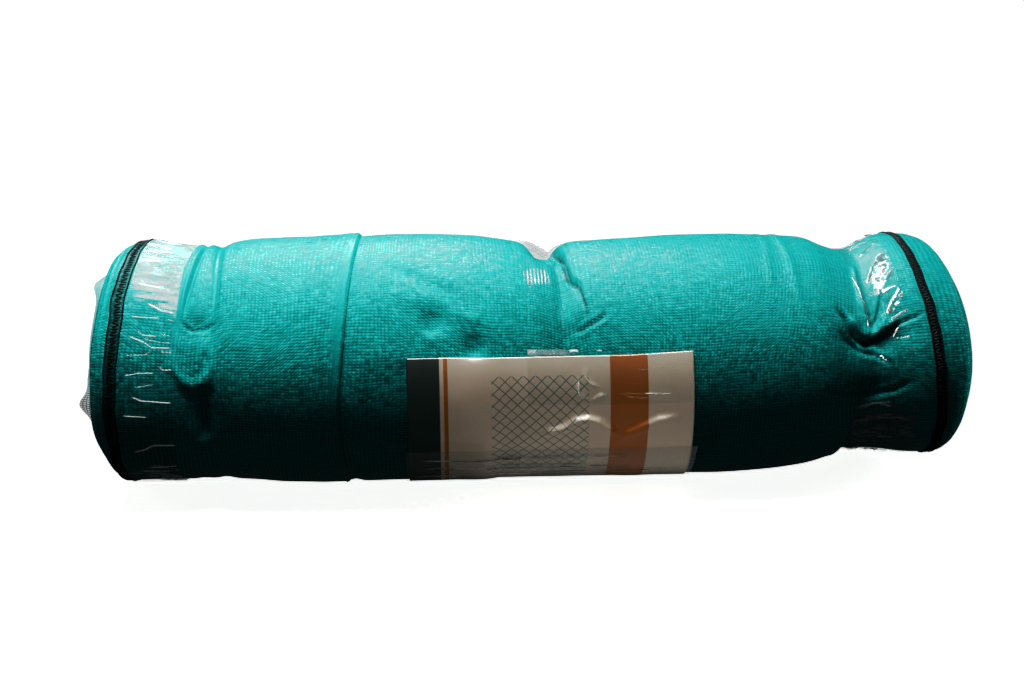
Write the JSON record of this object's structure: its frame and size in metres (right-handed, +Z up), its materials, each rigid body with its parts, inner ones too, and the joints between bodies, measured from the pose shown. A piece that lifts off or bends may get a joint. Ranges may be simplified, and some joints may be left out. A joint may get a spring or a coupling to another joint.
{
  "type": "roll of debris netting",
  "caption": "Wound roll of knitted green debris netting, drawn in by loops of clear tape, with dark selvedge stripes at its ends and a plain taped card on its front.",
  "frame": {"origin": "on the floor, under the middle of the roll's box", "axes": "+X along the roll, to the right in the picture, +Y away from the viewer, +Z up"},
  "size_m": [0.6652, 0.1956, 0.1932],
  "materials": {
    "netting": "knitted polyethylene yarn, slightly glossy",
    "clear_tape": "clear glossy film with wrinkles",
    "card": "printed satin paper with creases"
  },
  "bodies": {
    "root": {"netting_roll": "netting", "tape_left": "clear_tape", "tape_middle": "clear_tape", "tape_right": "clear_tape", "label_card": "card", "tape_label_top": "clear_tape", "tape_label_bottom": "clear_tape"}
  },
  "joints": []
}
